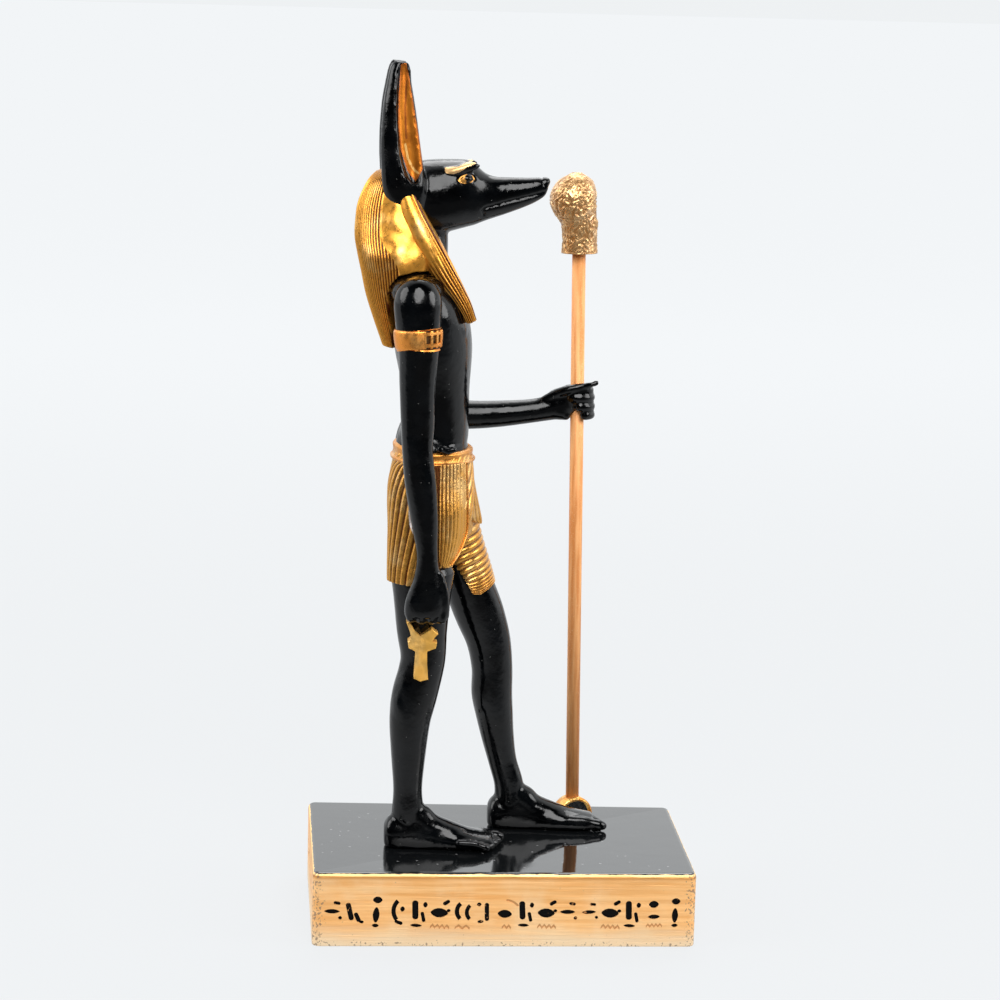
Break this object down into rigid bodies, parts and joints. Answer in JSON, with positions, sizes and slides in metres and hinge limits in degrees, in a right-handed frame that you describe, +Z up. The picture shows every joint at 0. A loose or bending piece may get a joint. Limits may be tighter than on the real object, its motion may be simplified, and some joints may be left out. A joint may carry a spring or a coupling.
{
  "type": "striding jackal-headed statuette on a plinth",
  "caption": "Cast statuette of a striding jackal-headed figure with a tall staff and an ankh, fixed on a rectangular plinth.",
  "frame": {"origin": "middle of the plinth's underside", "axes": "+Z up, +X the way the figure walks, +Y towards its left side, where the staff is"},
  "size_m": [0.088, 0.054, 0.1999],
  "materials": {
    "plinth": "cast resin, gold-painted sides and glossy black top",
    "figure": "cast resin, glossy black lacquer with gold-painted wig and kilt",
    "rod": "thin steel rod in copper-gold paint",
    "knob": "rough-cast resin in pale gold"
  },
  "bodies": {
    "root": {"plinth": "plinth", "figure": "figure", "staff_rod": "rod", "staff_knob": "knob"}
  },
  "joints": []
}
